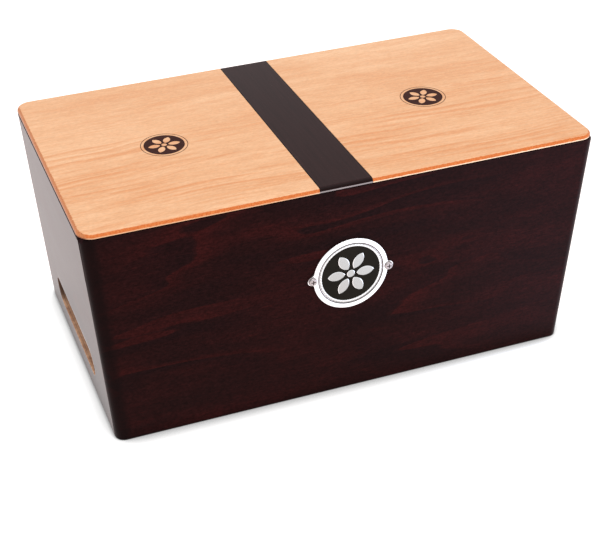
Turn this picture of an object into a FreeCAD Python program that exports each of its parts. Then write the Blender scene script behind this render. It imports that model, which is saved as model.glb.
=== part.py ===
import FreeCAD, Part
import math
import os

import Sketcher

# A bongo cajon: a small wooden box drum with two thin playing boards on top, split by a dark centre strip
# and, inside, by an upright divider. The two end boards lean inward towards the base, and each has one
# long slot that lets the air out and serves as a hand grip. A round metal badge is screwed to the front.
# +X runs along the length, -Y is the front with the badge, +Z is up. The origin is the centre of the base.

SIZES = {
    "length": 400.0,  # across the two playing boards, at the top
    "depth": 226.0,
    "height": 184.0,
    "end_lean": 11.0,  # how far each end comes in from the top to the base
    "corner_radius": 8.0,  # upright corners of the case and of the top, in plan
    "wall": 12.0,  # front, back and end boards
    "corner_lip": 6.0,  # what the front and back boards keep in front of the ends' edges
    "rim_ease": 0.9,
    "foot_ease": 1.2,
    "base_thickness": 6.0,
    "top_thickness": 3.6,
    "top_roundover": 3.2,
    "joint_gap": 0.12,  # the fine open line at each side of the centre strip
    "strip_width": 41.0,
    "strip_shift": -4.0,  # the left voice is the smaller one
    "bearer_width": 61.0,
    "bearer_depth": 12.0,
    "divider_thickness": 9.0,
    "post_size": 14.0,
    "cleat_size": 10.0,
    "cleat_clearance": 0.5,
    "slot_length": 126.0,
    "slot_height": 23.5,
    "slot_level": 35.5,  # height of the slot's middle above the base
    "slot_ease": 1.0,
    "badge_level": 107.5,
    "badge_radius": 30.0,
    "badge_bed": 0.9,  # thickness of the plate under the disc
    "badge_rim": 1.7,  # thickness of the plate's rim
    "badge_rim_ease": 0.4,
    "badge_well_radius": 26.2,
    "ear_radius": 3.8,
    "ear_thickness": 1.2,
    "ear_blend": 2.0,
    "ring_outer_radius": 25.7,
    "ring_inner_radius": 23.4,
    "ring_thickness": 0.7,
    "ring_ease": 0.2,
    "disc_radius": 23.3,
    "disc_thickness": 0.4,
    "mark_thickness": 0.45,
    "mark_reach": 18.6,
    "mark_start": 4.6,
    "mark_half_width": 3.9,
    "mark_hub_radius": 3.1,
    "screw_offset": 30.6,
    "screw_head_radius": 3.3,
    "screw_head_height": 1.9,
    "screw_head_ease": 1.2,
    "screw_seat_clearance": 0.3,  # the seat that the heads sink into, in the plate's rim
    "screw_shank_radius": 1.5,
    "screw_depth": 10.0,  # how deep the screws go into the front board
    "screw_cross_length": 3.6,
    "screw_cross_width": 0.8,
    "screw_cross_depth": 0.9,
    "pilot_clearance": 0.05,
    "pilot_overrun": 0.8,  # how much deeper the pilot holes are than the screws
    "emblem_offset": 108.0,
    "emblem_shift": -5.0,
    "emblem_radius": 15.7,
    "emblem_ring_outer_radius": 18.2,
    "emblem_ring_inner_radius": 17.75,
    "emblem_thickness": 0.1,
    "emblem_reach": 12.6,
    "emblem_start": 3.1,
    "emblem_half_width": 2.65,
    "emblem_hub_radius": 2.1,
}
PETALS = 6

doc = FreeCAD.newDocument("bongo_cajon")
sheet = doc.addObject("Spreadsheet::Sheet", "Sizes")
for row, (alias, size) in enumerate(SIZES.items(), start=1):
    sheet.set(f"A{row}", alias)
    sheet.set(f"B{row}", str(size))
    sheet.setAlias(f"B{row}", alias)
doc.recompute()

# Lengths that several pieces share, as expressions of the sheet's cells.
CASE_HEIGHT = "(Sizes.height - Sizes.top_thickness)"
HALF_DEPTH = "(Sizes.depth / 2)"
HALF_INSIDE = "(Sizes.depth / 2 - Sizes.wall)"
SLOPE = "(Sizes.end_lean / Sizes.height)"
SQUARE_TO_END = f"sqrt(1 + {SLOPE} * {SLOPE})"  # level run through a leaning board, per unit of thickness
FOOT_HALF = "(Sizes.length / 2 - Sizes.end_lean)"
STRIP_LEFT = "(Sizes.strip_shift - Sizes.strip_width / 2)"
STRIP_RIGHT = "(Sizes.strip_shift + Sizes.strip_width / 2)"
SIDES = {"left": "-1", "right": "1"}
ENDS = {"front": "-1", "back": "1"}


def number(expression):
    return float(sheet.evalExpression(expression))


def bind(obj, **expressions):
    """Ties properties to the sheet; x, y and z stand for the placement's position."""
    for name, expression in expressions.items():
        path = f"Placement.Base.{name}" if name in ("x", "y", "z") else name
        obj.setExpression(path, expression)
    return obj


def body(name):
    made = doc.addObject("PartDesign::Body", name)
    made.Label = name
    return made


def sketch(owner, name, plane, lift=None):
    made = owner.newObject("Sketcher::SketchObject", name)
    made.AttachmentSupport = [(origin_feature(owner, plane), "")]
    made.MapMode = "FlatFace"
    if lift:
        made.setExpression("AttachmentOffset.Base.z", lift)
    return made


def origin_feature(owner, role):
    return next(f for f in owner.Origin.OriginFeatures if f.Role == role)


def pin_point(target, geometry, point, x, y):
    """Fixes one point of a sketch at two expressions measured from the sketch's origin."""
    for axis, kind, expression in ((-2, "DistanceX", x), (-1, "DistanceY", y)):
        if expression == "0":
            target.addConstraint(Sketcher.Constraint("PointOnObject", geometry, point, axis))
        else:
            value = number(expression)
            index = target.addConstraint(Sketcher.Constraint(kind, -1, 1, geometry, point, value))
            target.setExpression(f"Constraints[{index}]", expression)


def polygon(target, corners):
    """A closed outline of straight lines through corners given as pairs of expressions."""
    points = [FreeCAD.Vector(number(x), number(y), 0) for x, y in corners]
    lines = [
        target.addGeometry(Part.LineSegment(a, b), False)
        for a, b in zip(points, points[1:] + points[:1])
    ]
    for line, following in zip(lines, lines[1:] + lines[:1]):
        target.addConstraint(Sketcher.Constraint("Coincident", line, 2, following, 1))
    for line, (x, y) in zip(lines, corners):
        pin_point(target, line, 1, x, y)


def circle(target, radius, x="0"):
    """A circle centred on the sketch's horizontal axis."""
    centre = FreeCAD.Vector(number(x), 0, 0)
    round_edge = Part.Circle(centre, FreeCAD.Vector(0, 0, 1), number(radius))
    index = target.addGeometry(round_edge, False)
    pin_point(target, index, 3, x, "0")
    size = target.addConstraint(Sketcher.Constraint("Radius", index, number(radius)))
    target.setExpression(f"Constraints[{size}]", radius)


def pad(owner, profile, length, side="One side", reverse=False):
    made = owner.newObject("PartDesign::Pad", profile.Name + "_pad")
    made.Profile = profile
    made.SideType = side
    made.Reversed = reverse
    return bind(made, Length=length)


def pocket(owner, profile, depth=None):
    """Cuts to a depth, or right through both ways when no depth is given, and checks that it cuts."""
    before = solid_volume(owner)
    made = owner.newObject("PartDesign::Pocket", profile.Name + "_cut")
    made.Profile = profile
    if depth:
        bind(made, Length=depth)
    else:
        made.Type = "ThroughAll"
        made.SideType = "Symmetric"
    if not solid_volume(owner) < before:
        raise RuntimeError(f"{made.Name} cuts nothing")
    return made


def solid_volume(obj):
    doc.recompute()
    return obj.Shape.Volume


def edges_where(feature, test):
    """Names of the edges whose two ends, or whose whole closed curve, pass the test."""
    doc.recompute()
    found = []
    for index, edge in enumerate(feature.Shape.Edges, start=1):
        if test(edge):
            found.append(f"Edge{index}")
    if not found:
        raise RuntimeError(f"no edge to round on {feature.Name}")
    return found


def fillet(owner, base, name, radius, test):
    names = edges_where(base, test)
    made = owner.newObject("PartDesign::Fillet", name)
    made.Base = (base, names)
    return bind(made, Radius=radius)


def box(name, x, y, z, length, width, height):
    made = doc.addObject("Part::Box", name)
    return bind(made, x=x, y=y, z=z, Length=length, Width=width, Height=height)


def cylinder(name, radius, height, x="0", y="0", z="0"):
    made = doc.addObject("Part::Cylinder", name)
    return bind(made, Radius=radius, Height=height, x=x, y=y, z=z)


def boolean(kind, name, base, tool):
    made = doc.addObject(f"Part::{kind}", name)
    made.Base = base
    made.Tool = tool
    return made


def in_plane(axis, level):
    """A test for edges that lie in the plane square to an axis, x, y or z, at that level."""
    return lambda edge: all(abs(getattr(v.Point, axis) - level) < 0.01 for v in edge.Vertexes)


def is_upright(edge):
    heights = [v.Point.z for v in edge.Vertexes]
    return max(heights) - min(heights) > 1.0


def case_blank():
    """The outer form of the case below the playing boards, with its rounded corners and eased edges."""
    owner = body("case_blank")
    outline = sketch(owner, "case_outline", "XZ_Plane")
    rim_half = f"({FOOT_HALF} + {SLOPE} * {CASE_HEIGHT})"
    polygon(
        outline,
        [
            (f"-{FOOT_HALF}", "0"),
            (FOOT_HALF, "0"),
            (rim_half, CASE_HEIGHT),
            (f"-{rim_half}", CASE_HEIGHT),
        ],
    )
    form = pad(owner, outline, "Sizes.depth", side="Symmetric")
    corners = fillet(owner, form, "case_corners", "Sizes.corner_radius", is_upright)
    foot = fillet(owner, corners, "case_foot", "Sizes.foot_ease", in_plane("z", 0))
    fillet(owner, foot, "case_rim", "Sizes.rim_ease", in_plane("z", number(CASE_HEIGHT)))
    return owner


def top_blank():
    """The outer form of the two playing boards and the strip between them, with the rounded-over rim."""
    owner = body("top_blank")
    outline = sketch(owner, "top_outline", "XY_Plane")
    half = "(Sizes.length / 2)"
    polygon(
        outline,
        [
            (f"-{half}", f"-{HALF_DEPTH}"),
            (half, f"-{HALF_DEPTH}"),
            (half, HALF_DEPTH),
            (f"-{half}", HALF_DEPTH),
        ],
    )
    form = pad(owner, outline, "Sizes.top_thickness")
    corners = fillet(owner, form, "top_corners", "Sizes.corner_radius", is_upright)
    thickness = number("Sizes.top_thickness")
    fillet(owner, corners, "top_rim", "Sizes.top_roundover", in_plane("z", thickness))
    bind(owner, z=CASE_HEIGHT)
    return owner


def leaning_board(name, side, inset, thickness, bottom, top, width, y):
    """A board that leans with an end of the case: a slanted outline in the XZ plane, as wide as given in Y.

    inset is how far its outer face lies behind the end's outer face, and y is its rear edge's place."""
    owner = body(name)
    outline = sketch(owner, name + "_outline", "XZ_Plane")

    def across(level, behind):
        return f"{side} * ({FOOT_HALF} + {SLOPE} * ({level}) - ({behind}) * {SQUARE_TO_END})"

    behind = f"{inset} + {thickness}"
    polygon(
        outline,
        [
            (across(bottom, inset), bottom),
            (across(top, inset), top),
            (across(top, behind), top),
            (across(bottom, behind), bottom),
        ],
    )
    pad(owner, outline, width)
    bind(owner, y=y)
    return owner


def end_board(hand):
    """An end of the case with its slot, before the case's corners are rounded."""
    half = "(Sizes.depth / 2 - Sizes.corner_lip)"
    owner = leaning_board(
        hand + "_end_board", SIDES[hand], "0", "Sizes.wall", "0", CASE_HEIGHT, f"2 * {half}", half
    )
    slot = sketch(owner, hand + "_slot", "YZ_Plane")
    slot_outline(slot, half)
    cut = pocket(owner, slot)
    outward = float(SIDES[hand])

    def on_outer_rim(edge):
        return all(
            abs(outer_face_distance(v.Point, outward)) < 0.01 and slot_contains(v.Point)
            for v in edge.Vertexes
        )

    fillet(owner, cut, hand + "_slot_rim", "Sizes.slot_ease", on_outer_rim)
    return owner


def outer_face_distance(point, outward):
    """How far a point lies inside the end's outer face, measured along X."""
    return number(FOOT_HALF) + number(SLOPE) * point.z - outward * point.x


def slot_contains(point):
    reach = number("Sizes.slot_length / 2") + 1
    rise = number("Sizes.slot_height / 2") + 1
    return abs(point.y) < reach and abs(point.z - number("Sizes.slot_level")) < rise


def slot_outline(target, rear):
    """A long slot with round ends: two lines joined by two half circles, centred over the board's width.

    The sketch lies in the board's own frame, where the board's middle is at minus its rear edge."""
    middle = -number(rear)
    level = number("Sizes.slot_level")
    radius = number("Sizes.slot_height / 2")
    straight = number("(Sizes.slot_length - Sizes.slot_height) / 2")
    corner = {
        (i, j): FreeCAD.Vector(middle + i * straight, level + j * radius, 0)
        for i in (-1, 1)
        for j in (-1, 1)
    }
    up = FreeCAD.Vector(0, 0, 1)
    low = target.addGeometry(Part.LineSegment(corner[-1, -1], corner[1, -1]), False)
    quarter = math.pi / 2
    right_centre = FreeCAD.Vector(middle + straight, level, 0)
    right_circle = Part.Circle(right_centre, up, radius)
    right = target.addGeometry(Part.ArcOfCircle(right_circle, -quarter, quarter), False)
    high = target.addGeometry(Part.LineSegment(corner[1, 1], corner[-1, 1]), False)
    left_centre = FreeCAD.Vector(middle - straight, level, 0)
    left_circle = Part.Circle(left_centre, up, radius)
    left = target.addGeometry(Part.ArcOfCircle(left_circle, quarter, 3 * quarter), False)
    for first, end, second, start in (
        (low, 2, right, 1),
        (right, 2, high, 1),
        (high, 2, left, 1),
        (left, 2, low, 1),
    ):
        target.addConstraint(Sketcher.Constraint("Tangent", first, end, second, start))
    target.addConstraint(Sketcher.Constraint("Horizontal", low))
    run = "(Sizes.slot_length - Sizes.slot_height) / 2"
    pin_point(target, right, 3, f"{run} - {rear}", "Sizes.slot_level")
    index = target.addConstraint(Sketcher.Constraint("DistanceX", left, 3, right, 3, 2 * straight))
    target.setExpression(f"Constraints[{index}]", "Sizes.slot_length - Sizes.slot_height")
    index = target.addConstraint(Sketcher.Constraint("Radius", right, radius))
    target.setExpression(f"Constraints[{index}]", "Sizes.slot_height / 2")


def long_board(name, y, blank, ends):
    """The front or back board: full length, rebated at both edges for the ends."""
    raw = box(name + "_raw", "-Sizes.length / 2", y, "0", "Sizes.length", "Sizes.wall", CASE_HEIGHT)
    formed = boolean("Common", name + "_formed", raw, blank)
    return boolean("Cut", name + "_rebated", formed, ends)


def pilot_holes():
    """The two blind holes in the front board that the badge's screws bite into."""
    made = doc.addObject("Part::MultiFuse", "pilot_holes")
    made.Shapes = [
        cylinder(
            f"pilot_hole_{hand}",
            "Sizes.screw_shank_radius + Sizes.pilot_clearance",
            "Sizes.screw_depth + Sizes.pilot_overrun",
            f"{side} * Sizes.screw_offset",
            f"-{HALF_DEPTH}",
            "Sizes.badge_level",
        )
        for hand, side in SIDES.items()
    ]
    for hole in made.Shapes:
        hole.Placement.Rotation = FreeCAD.Rotation(FreeCAD.Vector(1, 0, 0), -90)
    return made


def bottom_panel(blank, ends):
    raw = box(
        "bottom_raw",
        "-Sizes.length / 2",
        f"-{HALF_INSIDE}",
        "0",
        "Sizes.length",
        f"2 * {HALF_INSIDE}",
        "Sizes.base_thickness",
    )
    formed = boolean("Common", "bottom_formed", raw, blank)
    return boolean("Cut", "bottom_panel", formed, ends)


def playing_boards(blank):
    """The two thin playing boards and the dark strip between them, all trimmed to one outline."""
    spans = {
        "left_soundboard": ("-Sizes.length / 2", f"{STRIP_LEFT} - Sizes.joint_gap"),
        "centre_strip": (STRIP_LEFT, STRIP_RIGHT),
        "right_soundboard": (f"{STRIP_RIGHT} + Sizes.joint_gap", "Sizes.length / 2"),
    }
    made = {}
    for name, (start, end) in spans.items():
        raw = box(
            name + "_raw",
            start,
            f"-{HALF_DEPTH}",
            CASE_HEIGHT,
            f"({end}) - ({start})",
            "Sizes.depth",
            "Sizes.top_thickness",
        )
        made[name] = boolean("Common", name, raw, blank)
    return made


def inner_frame():
    """The upright divider, the bearer on top of it, the corner posts and the strips round the base."""
    inside = f"2 * {HALF_INSIDE}"
    above_base = f"{CASE_HEIGHT} - Sizes.base_thickness"
    made = {
        "centre_bearer": box(
            "centre_bearer",
            "Sizes.strip_shift - Sizes.bearer_width / 2",
            f"-{HALF_INSIDE}",
            f"{CASE_HEIGHT} - Sizes.bearer_depth",
            "Sizes.bearer_width",
            inside,
            "Sizes.bearer_depth",
        ),
        "centre_divider": box(
            "centre_divider",
            "Sizes.strip_shift - Sizes.divider_thickness / 2",
            f"-{HALF_INSIDE}",
            "Sizes.base_thickness",
            "Sizes.divider_thickness",
            inside,
            f"{above_base} - Sizes.bearer_depth",
        ),
    }
    for hand, side in SIDES.items():
        for end, facing_side in ENDS.items():
            made[f"corner_post_{end}_{hand}"] = leaning_board(
                f"corner_post_{end}_{hand}",
                side,
                "Sizes.wall",
                "Sizes.post_size",
                "Sizes.base_thickness",
                CASE_HEIGHT,
                "Sizes.post_size",
                f"{facing_side} * {HALF_INSIDE}" + (" + Sizes.post_size" if end == "front" else ""),
            )
            made[f"base_cleat_{end}_{hand}"] = long_cleat(end, hand, side)
        between_posts = f"{HALF_INSIDE} - Sizes.post_size - Sizes.cleat_clearance"
        made[f"base_cleat_{hand}_end"] = leaning_board(
            f"base_cleat_{hand}_end",
            side,
            "Sizes.wall",
            "Sizes.cleat_size",
            "Sizes.base_thickness",
            "Sizes.base_thickness + Sizes.cleat_size",
            f"2 * ({between_posts})",
            between_posts,
        )
    return made


def long_cleat(end, hand, side):
    """A strip in the corner between the base and the front or back board, from the divider to a post."""
    post_face = f"({FOOT_HALF} - (Sizes.wall + Sizes.post_size) * {SQUARE_TO_END})"
    far = f"({side} * ({post_face} - Sizes.cleat_clearance))"
    near = f"(Sizes.strip_shift + {side} * (Sizes.divider_thickness / 2 + Sizes.cleat_clearance))"
    start, stop = (near, far) if hand == "right" else (far, near)
    return box(
        f"base_cleat_{end}_{hand}",
        start,
        f"-{HALF_INSIDE}" if end == "front" else f"{HALF_INSIDE} - Sizes.cleat_size",
        "Sizes.base_thickness",
        f"{stop} - {start}",
        "Sizes.cleat_size",
        "Sizes.cleat_size",
    )


def on_front(owner, proud):
    """Places a badge piece on the front face, standing proud of it by an expression."""
    return bind(owner, y=f"-({HALF_DEPTH} + {proud})", z="Sizes.badge_level")


def rosette(name, plane, start, reach, half_width, hub, thickness):
    """Six lens-shaped petals round a small hub, each petal bounded by two equal arcs."""
    owner = body(name)
    middle = sketch(owner, name + "_hub", plane)
    circle(middle, hub)
    pad(owner, middle, thickness)
    outline = sketch(owner, name + "_petal", plane)
    half_chord = f"(({reach} - {start}) / 2)"
    radius = f"(({half_chord} * {half_chord} + {half_width} * {half_width}) / (2 * {half_width}))"
    centre_x = number(f"({reach} + {start}) / 2")
    drop = number(f"{radius} - {half_width}")
    turn = math.atan2(drop, number(half_chord))
    up = FreeCAD.Vector(0, 0, 1)
    upper = Part.Circle(FreeCAD.Vector(centre_x, -drop, 0), up, number(radius))
    lower = Part.Circle(FreeCAD.Vector(centre_x, drop, 0), up, number(radius))
    first = outline.addGeometry(Part.ArcOfCircle(upper, turn, math.pi - turn), False)
    second = outline.addGeometry(Part.ArcOfCircle(lower, math.pi + turn, -turn), False)
    outline.addConstraint(Sketcher.Constraint("Coincident", first, 2, second, 1))
    outline.addConstraint(Sketcher.Constraint("Coincident", second, 2, first, 1))
    pin_point(outline, first, 1, reach, "0")
    pin_point(outline, first, 2, start, "0")
    for arc in (first, second):
        index = outline.addConstraint(Sketcher.Constraint("Radius", arc, number(radius)))
        outline.setExpression(f"Constraints[{index}]", radius)
    petal = pad(owner, outline, thickness)
    petals = owner.newObject("PartDesign::PolarPattern", name + "_petals")
    petals.Originals = [petal]
    petals.Axis = (outline, ["N_Axis"])
    petals.Angle = 360
    petals.Occurrences = PETALS
    owner.Tip = petals
    return owner


def badge_plate():
    """The round plate with its raised rim and two ears for the screws."""
    owner = body("badge_plate")
    bed = sketch(owner, "badge_bed_outline", "XZ_Plane")
    circle(bed, "Sizes.badge_radius")
    pad(owner, bed, "Sizes.badge_bed")
    ears = sketch(owner, "badge_ears_outline", "XZ_Plane")
    ear_circles(ears, "Sizes.ear_radius")
    ear_pad = pad(owner, ears, "Sizes.ear_thickness")
    notch = number("Sizes.badge_radius")

    def in_notch(edge):
        ends = [v.Point for v in edge.Vertexes]
        straight = len(ends) == 2 and abs(ends[0].x - ends[1].x) < 0.01
        across = straight and abs(ends[0].z - ends[1].z) < 0.01
        return across and abs(math.hypot(ends[0].x, ends[0].z) - notch) < 0.01

    fillet(owner, ear_pad, "badge_ear_blends", "Sizes.ear_blend", in_notch)
    rim = sketch(owner, "badge_rim_outline", "XZ_Plane")
    circle(rim, "Sizes.badge_radius")
    circle(rim, "Sizes.badge_well_radius")
    rim_pad = pad(owner, rim, "Sizes.badge_rim")
    crest = in_plane("y", -number("Sizes.badge_rim"))
    fillet(owner, rim_pad, "badge_rim_edges", "Sizes.badge_rim_ease", crest)
    seats = sketch(owner, "badge_screw_seats", "XZ_Plane", "Sizes.badge_rim")
    ear_circles(seats, "Sizes.screw_head_radius + Sizes.screw_seat_clearance")
    pocket(owner, seats, "Sizes.badge_rim - Sizes.ear_thickness")
    holes = sketch(owner, "badge_ear_holes", "XZ_Plane")
    ear_circles(holes, "Sizes.screw_shank_radius + 2 * Sizes.pilot_clearance")
    pocket(owner, holes)
    return on_front(owner, "0")


def ear_circles(target, radius):
    for side in SIDES.values():
        circle(target, radius, f"{side} * Sizes.screw_offset")


def badge_inner_ring():
    owner = body("badge_inner_ring")
    outline = sketch(owner, "inner_ring_outline", "XZ_Plane")
    circle(outline, "Sizes.ring_outer_radius")
    circle(outline, "Sizes.ring_inner_radius")
    form = pad(owner, outline, "Sizes.ring_thickness")
    crest = in_plane("y", -number("Sizes.ring_thickness"))
    fillet(owner, form, "inner_ring_edges", "Sizes.ring_ease", crest)
    return on_front(owner, "Sizes.badge_bed")


def badge_disc():
    owner = body("badge_disc")
    outline = sketch(owner, "disc_outline", "XZ_Plane")
    circle(outline, "Sizes.disc_radius")
    pad(owner, outline, "Sizes.disc_thickness")
    return on_front(owner, "Sizes.badge_bed")


def badge_mark():
    owner = rosette(
        "badge_mark",
        "XZ_Plane",
        "Sizes.mark_start",
        "Sizes.mark_reach",
        "Sizes.mark_half_width",
        "Sizes.mark_hub_radius",
        "Sizes.mark_thickness",
    )
    return on_front(owner, "Sizes.badge_bed + Sizes.disc_thickness")


def badge_screws():
    """Two pan-head wood screws with a cross recess, one through each ear."""
    made = doc.addObject("Part::MultiFuse", "badge_screws")
    made.Shapes = [badge_screw(hand) for hand in SIDES]
    return made


def badge_screw(hand):
    owner = body("badge_screw_" + hand)
    outline = sketch(owner, f"screw_head_{hand}", "XZ_Plane")
    circle(outline, "Sizes.screw_head_radius")
    head = pad(owner, outline, "Sizes.screw_head_height")
    crest = in_plane("y", -number("Sizes.screw_head_height"))
    fillet(owner, head, f"screw_dome_{hand}", "Sizes.screw_head_ease", crest)
    shank = sketch(owner, f"screw_shank_{hand}", "XZ_Plane")
    circle(shank, "Sizes.screw_shank_radius")
    pad(owner, shank, "Sizes.ear_thickness + Sizes.screw_depth", reverse=True)
    half_length = "(Sizes.screw_cross_length / 2)"
    half_width = "(Sizes.screw_cross_width / 2)"
    for way, (wide, tall) in {
        "level": (half_length, half_width),
        "upright": (half_width, half_length),
    }.items():
        slot = sketch(owner, f"screw_slot_{way}_{hand}", "XZ_Plane", "Sizes.screw_head_height")
        polygon(
            slot,
            [(f"-{wide}", f"-{tall}"), (wide, f"-{tall}"), (wide, tall), (f"-{wide}", tall)],
        )
        pocket(owner, slot, "Sizes.screw_cross_depth")
    bind(owner, x=f"{SIDES[hand]} * Sizes.screw_offset")
    return on_front(owner, "Sizes.ear_thickness")


def emblem(hand):
    """The mark printed on a playing board: a solid disc with the rosette left bare, inside a fine ring."""
    name = hand + "_emblem"
    x = f"{SIDES[hand]} * Sizes.emblem_offset"
    place = {"x": x, "y": "Sizes.emblem_shift", "z": "Sizes.height"}
    thickness = "Sizes.emblem_thickness"
    disc = cylinder(name + "_disc", "Sizes.emblem_radius", thickness, **place)
    bare = rosette(
        name + "_bare",
        "XY_Plane",
        "Sizes.emblem_start",
        "Sizes.emblem_reach",
        "Sizes.emblem_half_width",
        "Sizes.emblem_hub_radius",
        thickness,
    )
    bind(bare, **place)
    outside = cylinder(name + "_ring_outside", "Sizes.emblem_ring_outer_radius", thickness, **place)
    inside = cylinder(name + "_ring_inside", "Sizes.emblem_ring_inner_radius", thickness, **place)
    made = doc.addObject("Part::MultiFuse", name)
    made.Shapes = [
        boolean("Cut", name + "_field", disc, bare),
        boolean("Cut", name + "_ring", outside, inside),
    ]
    return made


def build():
    """Makes every sub-part and returns them by node name."""
    blank = case_blank()
    top = top_blank()
    end_boards = {hand: end_board(hand) for hand in SIDES}
    ends = doc.addObject("Part::MultiFuse", "end_boards")
    ends.Shapes = list(end_boards.values())
    front = long_board("front", f"-{HALF_DEPTH}", blank, ends)
    nodes = {
        "front_panel": boolean("Cut", "front_panel", front, pilot_holes()),
        "back_panel": long_board("back", HALF_INSIDE, blank, ends),
        "bottom_panel": bottom_panel(blank, ends),
    }
    for hand, raw in end_boards.items():
        nodes[hand + "_end_panel"] = boolean("Common", hand + "_end_panel", raw, blank)
        nodes[hand + "_emblem"] = emblem(hand)
    nodes.update(playing_boards(top))
    nodes.update(inner_frame())
    for piece in (badge_plate(), badge_inner_ring(), badge_disc(), badge_mark(), badge_screws()):
        nodes[piece.Name] = piece
    return nodes


def check_and_write(nodes):
    doc.recompute()
    for obj in doc.Objects:
        if "Invalid" in obj.State or "Error" in obj.State:
            raise RuntimeError(f"{obj.Name} failed: {obj.State}")
    os.makedirs("parts", exist_ok=True)
    for name, obj in nodes.items():
        obj.Label = name
        if obj.Shape.isNull() or not obj.Shape.isValid() or obj.Shape.Volume <= 0:
            raise RuntimeError(f"{name} has no valid solid")
        obj.Shape.exportStep(f"parts/{name}.step")
        print(f"{name:26s} {len(obj.Shape.Solids)} solid(s) {obj.Shape.Volume / 1000:9.3f} cm3")


check_and_write(build())
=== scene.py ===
"""The looks of a bongo cajon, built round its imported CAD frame. Lengths are metres, the frame's unit."""

import math

import bmesh
import bpy
from mathutils import Matrix, Vector


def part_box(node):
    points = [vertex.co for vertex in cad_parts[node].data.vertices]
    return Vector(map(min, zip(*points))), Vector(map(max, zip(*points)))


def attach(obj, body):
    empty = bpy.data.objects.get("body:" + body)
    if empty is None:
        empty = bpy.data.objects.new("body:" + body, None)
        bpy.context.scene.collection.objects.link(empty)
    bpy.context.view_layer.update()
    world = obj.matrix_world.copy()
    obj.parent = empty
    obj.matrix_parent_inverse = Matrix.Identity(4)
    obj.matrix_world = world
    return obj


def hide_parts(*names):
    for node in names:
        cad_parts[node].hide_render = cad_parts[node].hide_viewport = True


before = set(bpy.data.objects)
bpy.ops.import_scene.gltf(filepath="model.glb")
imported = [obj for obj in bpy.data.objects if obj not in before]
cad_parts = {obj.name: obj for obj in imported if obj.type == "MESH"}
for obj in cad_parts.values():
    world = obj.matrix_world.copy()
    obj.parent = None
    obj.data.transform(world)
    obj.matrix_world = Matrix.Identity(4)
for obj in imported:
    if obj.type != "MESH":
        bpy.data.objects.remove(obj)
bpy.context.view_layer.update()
MM = 0.001
SAME = 1e-8  # places closer than this count as one
SLACK = 0.05 * MM  # for telling which points lie past a line

# ---------------------------------------------------------------- sizes

_, FRONT_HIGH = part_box("front_panel")
BACK_LOW, BACK_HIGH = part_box("back_panel")
_, BOARD_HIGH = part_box("left_soundboard")
RIGHT_LOW, RIGHT_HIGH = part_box("right_soundboard")
STRIP_LOW, STRIP_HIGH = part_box("centre_strip")

badge_boxes = {node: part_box(node) for node in ("badge_inner_ring", "badge_mark", "badge_screws")}

HALF_LENGTH = RIGHT_HIGH.x
HALF_DEPTH = BACK_HIGH.y
TOP = BOARD_HIGH.z
CASE_TOP = FRONT_HIGH.z
WALL = BACK_HIGH.y - BACK_LOW.y
INNER_DEPTH = HALF_DEPTH - WALL  # from the middle to the inner face of a long board

END_LEAN = 11 * MM
SLOPE = END_LEAN / TOP
FOOT_HALF = HALF_LENGTH - END_LEAN
SQUARE_TO_END = math.hypot(1.0, SLOPE)

CORNER_LIP = 6 * MM
JOINT_DEPTH = HALF_DEPTH - CORNER_LIP  # from the middle to where an end board meets a long one
JOINT_EASE = 0.15 * MM  # the hairline that shows where two boards meet
CORNER_RADIUS = 8 * MM
CORNER_STEPS = 16
BOARD_CORNER_RADIUS = 11.5 * MM  # rounder than the case, whose dark corner shows past it
TOP_ROUNDOVER = 3.2 * MM
FOOT_EASE = 1.2 * MM
RIM_EASE = 0.9 * MM  # along the front and back boards
END_RIM_EASE = 2.8 * MM  # along the end boards
RIM_LINE = CASE_TOP - END_RIM_EASE - 0.9 * MM  # the lowest level of the dark rim of painted shade

SLOT_LEVEL = 35.5 * MM
SLOT_LENGTH = 126 * MM
SLOT_HEIGHT = 23.5 * MM
SLOT_EASE = 0.6 * MM
SLOT_RADIUS = SLOT_HEIGHT / 2
SLOT_STRAIGHT = SLOT_LENGTH / 2 - SLOT_RADIUS  # from the middle to where a round end begins

BADGE_LEVEL = 107.5 * MM
SCREW_OFFSET = 30.6 * MM
RING_RIDGES = 60
RIDGE_STEPS = 8  # points to a ridge
RING_RIDGE_HEIGHT = 0.08  # as a share of the ring's height
RING_SLANT = 500.0  # how many ridges the strokes slant across, to the metre of radius
RING_PROFILE = (  # radius in mm, share of the ring's height, whether the ridges run over it
    (25.7, 0.0, False),
    (25.7, 0.7, False),
    (25.64, 0.9, False),
    (25.5, 1.0, False),
    (25.36, 0.9, False),
    (25.3, 0.5, False),
    (25.0, 0.5, False),
    (24.9, 0.85, False),
    (24.6, 0.9, True),
    (24.3, 0.92, True),
    (24.0, 0.92, True),
    (23.75, 0.9, True),
    (23.5, 0.8, False),
    (23.4, 0.6, False),
    (23.4, 0.0, False),
)
PETALS = 6
PETAL_STEPS = 14  # along each of a petal's two arcs
MARK_START = 4.6 * MM  # how far from the badge's middle a petal starts
MARK_REACH = 18.6 * MM
MARK_HALF_WIDTH = 3.9 * MM
MARK_HUB_RADIUS = 3.1 * MM
MARK_BEVEL = 0.35 * MM


# ---------------------------------------------------------------- procedural materials


def shade(red, green, blue):
    """A colour given by its display values, 0 to 255, as the linear colour that shaders take."""

    def linear(value):
        value /= 255
        return value / 12.92 if value <= 0.04045 else ((value + 0.055) / 1.055) ** 2.4

    return (linear(red), linear(green), linear(blue), 1.0)


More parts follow.
